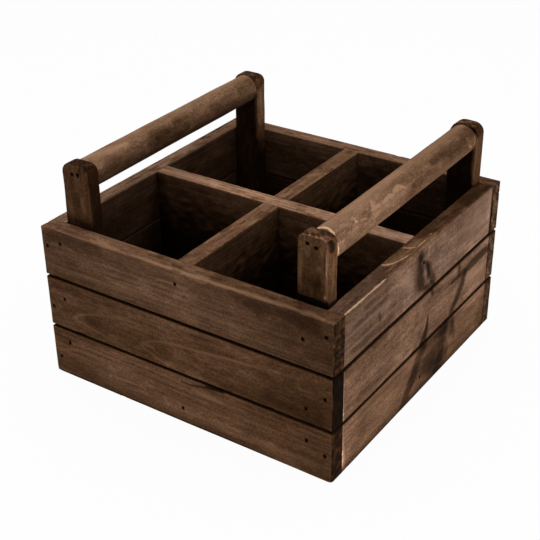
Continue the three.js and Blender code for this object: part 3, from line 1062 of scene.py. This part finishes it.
# Walls by side: the direction of the slats and the inner face
WALLS = {"front": ("X", "n-"), "right": ("Y", "n-"), "back": ("X", "n+"), "left": ("Y", "n+")}
SHOWN_WALLS = {"front": FRONT_WALL, "right": RIGHT_WALL}
OPPOSITE = {"back": FRONT_WALL, "left": RIGHT_WALL}

# Back and left walls, of which the photograph shows the rims, the inner faces and some ends
HIDDEN_GRAIN = dict(grey=0.15)
# The left wall's gap faces and middle inner face get painted shade; its rim is lighter, as paler wood and as
# painted light where the left handle's shadow falls
HIDDEN_SHADES = {
    "back": {"bottom": {"l+": 0.2}, "middle": {"l+": -0.22}, "top": {"l+": -0.27, "t+": 0.06}},
    "left": {"bottom": {"t+": 0.55}, "middle": {"t+": 0.55, "n+": 0.68}, "top": {"t+": -0.32}},
}
# Painted shade on the inner faces: the back wall's right half and the left wall by the divider's corner
INNER_MARKS = {
    "back": {"shade n+": [(0.5, (40, 100, 45), (110, 100)), (0.15, (-110, 115, 20), (110, 115))]},
    "left": {"shade n+": [(0.45, (-3, 122, 7), (-5, 95, 16), (-10, 60, 30))]},
}
RIM_MARKS = {
    "back": {
        "shade t+": [(0.35, (110, 119, 10), (125, 119, 12))],
        "worn t+n+": [(0.5, (-90, 0, 0.9), (-20, 0, 1.1), (90, 0))],
    },
    "left": {"shade t+": [(0.25, (60, -119, 12), (112, -119, 14))]},
}


def shown_wall_looks(side, course):
    """Looks of a slat whose outer face the photograph shows."""
    looks = dict(SHOWN_WALLS[side][course])
    looks["marks"] = listed(looks["marks"])
    if "ribs" in looks:
        looks["marks"] += end_ribs(*looks.pop("ribs"))
    return looks


def hidden_wall_looks(side, course, rng):
    """Looks of a slat whose outer face is out of sight: nails like those opposite, and streaks."""
    along = WALLS[side][0]
    nails = [(-a, z) for a, z in OPPOSITE[side][course]["nails"]]
    marks = streaks(rng, side + "_slat_" + course, "n-", along, "Z", STREAKS) + listed(INNER_MARKS[side])
    if course == "top":
        marks += listed(RIM_MARKS[side])
    return dict(grain=HIDDEN_GRAIN, shades=HIDDEN_SHADES[side][course], nails=nails, marks=marks, side=-1)


def walls():
    """Three slats a side. The front and back ones cover the ends of the others."""
    rng = np.random.default_rng(HANDMADE_SEED)
    for side, (along, inner) in WALLS.items():
        for course in COURSES:
            node = side + "_slat_" + course
            if side in SHOWN_WALLS:
                looks = shown_wall_looks(side, course)
            else:
                looks = hidden_wall_looks(side, course, rng)
            # Gap faces and inner faces get painted shade, the inner face deepening towards its foot
            shades = {"t+": GAP_SHADE, "t-": GAP_SHADE, inner: INSIDE_SHADE[course]}
            if course == "top":
                shades["t+"] = 0.0
            if course == "bottom":
                shades["t-"] = 0.0
            looks["shades"] = {**shades, **looks["shades"]}
            foot = box_of(node)[0][2]
            looks["marks"].append(depth_mark(inner, foot, INSIDE_REACH, INSIDE_DEPTH))
            if course == "top":
                through = "Y" if along == "X" else "X"
                looks["marks"] += streaks(fleck_rng, node, "t+", along, through, FLECKS)
            board(node, along, "Z", "slat_wood", **looks)


# Dividers: directions along and through, the board that crosses, and whether the notch is cut from the top.
# rim is the shade of the top edge. Marks are (x, y) on that edge, (x, z) on a face and y along an arris
LAP_PLAY = 0.3
DIVIDERS = {
    "divider_side_to_side": dict(
        along="X", through="Y", crossing="divider_front_to_back", from_top=False,
        grain=dict(pith=(20, -60), grey=0.07),
        rim=-0.45,
        marks={
            # The lighter ends of the top edge, light and below-0 shade, are painted light where the handles'
            # shadows fall
            "light t+": [(0.9, (-110, 1, 8), (-60, 1, 5)), (0.9, (60, 1, 7), (111, 1, 9))],
            "shade t+": [(-0.25, (66, 1, 10), (112, 1, 12))],
            # Painted shade in the face's left corner, lifted in its middle
            "shade n+": [(0.4, (-112, 126, 10), (-112, 70, 16)), (-0.5, (-70, 78, 16), (-45, 74))],
        }),
    "divider_front_to_back": dict(
        along="Y", through="X", crossing="divider_side_to_side", from_top=True,
        grain=dict(pith=(-30, 50), grey=0.07),
        rim=0.14,
        marks={
            "worn t+n+": [(0.7, (10, 0, 1), (60, 0, 1.3), (113, 0, 1.1)), (0.5, (-110, 0, 1), (-10, 0))],
        }),
}


def dividers():
    """Two boards, half-lapped where they cross."""
    # Both faces get painted shade, deepening towards the foot
    faces = {"n+": DIVIDER_SHADE, "n-": DIVIDER_SHADE}
    depths = [depth_mark(face, DIVIDER_DARK_LEVEL, DIVIDER_REACH, DIVIDER_DEPTH) for face in faces]
    for node, looks in DIVIDERS.items():
        along = looks["along"]
        axis = "XYZ".index(along)
        low, high = box_of(node)
        middle = (low[axis] + high[axis]) / 2
        crossing_low, crossing_high = box_of(looks["crossing"])
        start = crossing_low[axis] - LAP_PLAY - middle
        end = crossing_high[axis] + LAP_PLAY - middle
        level = -LAP_PLAY / 2 if looks["from_top"] else LAP_PLAY / 2
        flecks = streaks(fleck_rng, node, "t+", along, looks["through"], FLECKS)
        board(node, along, "Z", "divider_wood", looks["grain"], depths + listed(looks["marks"]) + flecks,
              {**faces, "t+": looks["rim"]}, notch=[start, end, level, looks["from_top"]],
              coarse=DIVIDER_COARSE)


# Posts. Nails are (z, x) on their outer faces, marks (z, x) on the front and (z, y) on the sides, z along an
# upright arris and x along the top's front arris. corners are the radii of the left and right top corners.
# The posts were nailed a little to the right of their CAD places
POST_GRAIN = dict(pith=(30, 20), lines=0.1)
POSTS = {
    "front_left": dict(
        shift=(0, 2.1, 0), trim={"t+": 1.3, "t-": 0.2}, corners=(8, 6), nails=[(169, -103.3), (169.6, -98)],
        shades={"n-": 0.42, "t+": 0.8, "l+": 0.3},
        marks={
            # The first shade is painted shade at the foot, where the post meets the rim
            "shade n-": [
                (0.6, (125, -115, 14), (125, -88)), (0.3, (165, -104, 4), (148, -103, 5), (138, -101, 4)),
            ],
            "light t+n-": [(0.6, (160, 0, 1.4), (133, 0, 1.8))],
            "light n-": [(0.5, (150, -96, 3), (135, -94, 4)), (0.4, (146, -109, 3), (138, -107))],
            "worn l+n-": [(0.5, (-110, 0, 1.2), (-92, 0))],
            "worn t+n-": [(0.6, (133, 0, 1.2), (130, 0, 1.5))],
        }),
    "front_right": dict(
        shift=(0, 0.6, 0), trim={"l+": 0.4}, corners=(6.5, 6), nails=[(170.4, 96), (168.8, 102.3)],
        shades={"n-": 0.4, "t+": 0.4, "l+": -0.6},
        marks={
            # Painted shade at the foot, where the post meets the rim; the below-0 shade is a painted
            # highlight, a strip along the right arris in the tone of the lit side
            "shade n-": [
                (0.5, (130, 100, 18), (138, 100, 14)), (0.25, (164, 98, 4), (150, 98, 5), (142, 101)),
                (0.7, (126.5, 86, 7), (126.5, 114, 6)), (-0.6, (174, 111.6, 2.2), (134, 111.6)),
            ],
            # Dark bands at the foot, on the front and the first on the side, are painted shade
            "dark n-": [(2.4, (127.5, 86, 6.4), (127.5, 114, 6))],
            "dark t+": [(1.8, (127, -112, 6), (127, -100, 5)), (1.4, (175, -108.6, 4), (169, -108, 5))],
            "worn n-": [(0.7, (133.6, 90, 0.8), (133, 98, 1), (134, 106))],
            "light n-": [(0.4, (160, 90.5, 3), (140, 90)), (0.7, (168, 110, 1.6), (134, 110))],
            "pale n-": [
                (0.85, (166, 110, 0.6), (158, 110, 1), (151, 110, 0.6)),
                (0.8, (136.4, 109, 1.4), (134.4, 109.4, 1.6)),
            ],
            "worn l+n-": [(0.6, (90, 0, 1.3), (110, 0))],
            "light t+": [(0.5, (158, -106, 2), (140, -107))],
        }),
    "back_left": dict(
        shift=(0, 0.8, 0), trim={"l+": 0.2}, corners=(7.5, 6), nails=[(168.5, -104), (169.2, -98.5)],
        # The front and left faces get painted shade
        shades={"n-": 0.85, "t+": -0.06, "t-": 0.6, "l+": -0.2},
        marks={
            "light t+": [(0.6, (162, 106, 2), (142, 108))],
            "worn t+n-": [(0.7, (166, 0, 1.2), (136, 0))],
            # Below-0 shades take the painted shade off along the right arris and above the handle
            "shade n-": [
                (-3, (172, -90, 2.4), (140, -90), (122, -90, 1.6)), (-1.5, (176, -110, 5), (176, -90)),
            ],
            # The second shade is painted shade on the right side below the rim
            "shade t+": [
                (0.6, (177, 113, 9), (172, 106, 7), (168, 102, 4)), (0.9, (10, 108, 46), (90, 108)),
            ],
        }),
    "back_right": dict(
        shift=(0, 1.1, 0), trim={"l+": 0.4}, corners=(9, 7.5), nails=[(169.3, 97.8), (168.2, 103)],
        # The front and left faces get painted shade
        shades={"n-": 0.95, "t+": 0.52, "t-": 0.8, "l+": -0.25},
        marks={
            # Below-0 shades take the painted shade off along the right arris and above the handle
            "shade n-": [
                (-9, (170, 109.6, 2.6), (164, 110.6, 3), (140, 111, 2.4), (128, 111, 1.6)),
                (-7, (178, 92, 6), (178, 103)),
            ],
            "shade t+": [(0.5, (177, 113, 8), (173, 106, 7), (169, 102, 3))],
            "worn t+n-": [(0.9, (168, 0, 1.3), (156, 0, 1.6), (132, 0, 1))],
        }),
}


def posts():
    """A post in each corner, rising above the rim."""
    for name, looks in POSTS.items():
        looks = dict(looks)
        flecks = streaks(fleck_rng, "post_" + name, "n-", "Z", "X", FLECKS)
        looks["marks"] = listed(looks["marks"]) + flecks
        left, right = looks.pop("corners")
        low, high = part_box("post_" + name)
        top = (high.z - low.z) / 2 / MM
        side = (high.x - low.x) / 2 / MM
        top_stops = [top - share * radius for share in POST_CORNER_LINES for radius in (left, right)]
        left_stops = [share * left - side for share in POST_CORNER_LINES]
        right_stops = [side - share * right for share in POST_CORNER_LINES]
        board("post_" + name, "Z", "X", "post_wood", POST_GRAIN, **looks,
              side=-1 if name.startswith("front") else 1, ease=partial(post_eased, corners=(left, right)),
              arris=POST_ARRIS, stops=(top_stops, left_stops + right_stops, []))


# Handles. Marks are (y, degrees from the top towards the right)
RIGHT_HANDLE_MARKS = {
    "pale round": [
        (1, (-97.5, -60, 4), (-97.5, -36), (-96.4, -14, 2.4), (-96, 10, 2), (-97.4, 30, 2.4),
         (-99, 50, 1.6), (-99.2, 68, 1.5), (-99, 85, 1.6), (-98.5, 110, 2)),
    ],
    "shade round": [
        (0.7, (-101, -20, 4), (-101, 20)), (-0.35, (-94, 70, 9), (-84, 60), (-72, 54, 6)),
        (-0.2, (-88, 26, 5), (-76, 24, 6)), (0.2, (-86, 50, 2.4), (-80, 52)),
        (0.2, (-24, 26, 2), (-16, 20, 3), (-6, 22, 3.4), (6, 27, 3)),
        (0.15, (6, 36, 4), (18, 40, 5.6), (34, 40, 5)),
        (0.4, (34, 42, 3), (46, 40, 5.4), (60, 44, 6), (74, 50, 5), (86, 56, 3)),
        (0.25, (46, 78, 3), (60, 76, 5), (78, 82), (88, 90, 3)),
        # The next shade is painted shade along the lower side
        (0.38, (84, 36, 4), (94, 34, 6), (103, 38, 7)), (0.25, (0, 104, 12), (103, 100, 14)),
        (0.15, (20, 0, 20), (103, 0)),
    ],
    "worn round": [
        (1, (-51.4, 49, 2.2), (-49.6, 42, 3), (-48, 32, 2.6), (-46.8, 22, 1.6), (-46, 14, 0.8)),
        (0.95, (-52, 51, 1.8), (-47, 49, 2.4), (-42.6, 51, 1.8)),
        (0.95, (-38.6, 54, 1.2), (-35, 50, 2), (-30, 47, 2.4), (-26, 48, 2.2), (-24, 52, 1.6)),
        (0.95, (-22.6, 48, 1.6), (-20, 41, 2), (-16, 37, 2.4), (-12.5, 42, 2.2), (-10, 50, 2),
         (-8, 60, 1.2)),
        (0.5, (-20, 49, 2), (-13, 51)), (0.8, (-74, 50, 1.2), (-72.6, 43, 1.5), (-71.6, 53, 1.3)),
        (0.75, (-68, 60, 1.2), (-65.5, 56, 1.4), (-61.5, 61, 1.2)), (0.7, (-1.5, 58, 1.2), (2.8, 58)),
        (0.6, (26, 60, 1), (31, 55, 1.2), (34, 60, 1)), (0.8, (90, 84, 2.4), (94, 96, 2.2)),
        (0.8, (98, 95, 1.4), (101, 70, 1.6), (102, 55)),
    ],
    "light round": [
        (0.3, (-52, 66, 4), (-45, 60, 5), (-30, 64), (-12, 62), (-2, 68, 4)),
        (0.6, (-99, -12, 9), (60, -12), (100, -8, 6)), (0.4, (42, 78, 5), (55, 82)),
    ],
    "dark round": [
        (0.4, (-52, 36, 1), (-49, 20, 1.2), (-46, 6, 1)), (0.4, (-41, 38, 1.2), (-32, 41, 1.4), (-24, 38)),
        (0.35, (-22, 24, 1.2), (-12, 20, 1.4), (0, 26, 1.2)),
        (0.3, (40, 14, 1), (66, 12, 1.2), (98, 18, 1)),
    ],
}
LEFT_HANDLE_MARKS = {
    "light round": [
        (0.8, (-98, -10, 7), (-80, 12, 6), (-60, 26, 4)), (0.5, (-60, -15, 9), (100, -15)),
        (0.35, (-98, 50, 5), (-90, 54, 4)),
    ],
    "shade round": [
        # The first two shades are painted shade along the lower and right side; the short patches are stain
        (0.45, (-100, 116, 10), (60, 116), (103, 120, 8)), (0.4, (-40, 80, 5), (-14, 78, 6.4), (6, 80, 5)),
        (0.3, (-88, 70, 6), (-76, 70)), (0.3, (-30, 62, 3.4), (-22, 62, 4.4), (-16, 60, 3)),
        (0.34, (-6, 42, 3.4), (2, 40, 4.4), (10, 44, 3.4)), (0.2, (-56, 52, 4), (-34, 52, 5), (16, 56, 4)),
        (0.4, (80, 58, 5), (92, 50, 7), (100, 50, 6)), (0.3, (40, 64, 3), (50, 76, 4)),
        # The last shade is painted shade along the right side
        (-0.25, (52, 46, 5), (76, 46)), (0.12, (-30, 20, 9), (0, 20)), (0.2, (-34, 60, 8), (84, 58)),
    ],
}

# Each follows the posts that it is nailed to. shifts are how far its front and its back end lie up and right
HANDLES = {
    "handle_left": dict(
        grain=dict(pith=(4, -30), lines=0.08),
        shifts=((0.2, 1.6), (0.9, 0.9)),
        marks=LEFT_HANDLE_MARKS),
    "handle_right": dict(
        grain=dict(pith=(-6, 30), lines=0.08),
        shifts=((0.1, 0.6), (0.6, 1)),
        marks=RIGHT_HANDLE_MARKS),
}


def handles():
    """The two dowels."""
    for node, looks in HANDLES.items():
        dowel(node, "handle_wood", looks["grain"], listed(looks["marks"]), looks["shifts"])


stage()
photo_camera()
woods = {
    "slat_wood": wood_material("stained_slat", BASE, THIN, stripes=1.0, mottling=0.5, wear=0.14),
    "post_wood": wood_material("stained_post", BASE, THIN, stripes=0.4, mottling=1.1, wear=0.15),
    "handle_wood": wood_material("stained_handle", HANDLE_BASE, HANDLE_THIN,
                                 stripes=0.3, mottling=0.7, wear=0.1),
    "divider_wood": wood_material("stained_divider", BASE, THIN, stripes=0.7, mottling=0.7, wear=0.2),
    "base_wood": wood_material("stained_base", BASE, THIN, stripes=0.8, mottling=0.5, wear=0.0),
}
walls()
# The base's inner face gets painted shade
board("base_panel", "X", "Y", "base_wood", shades={"n+": FLOOR_SHADE}, coarse=BASE_COARSE)
dividers()
posts()
handles()

bpy.context.scene.view_settings.view_transform = "Standard"
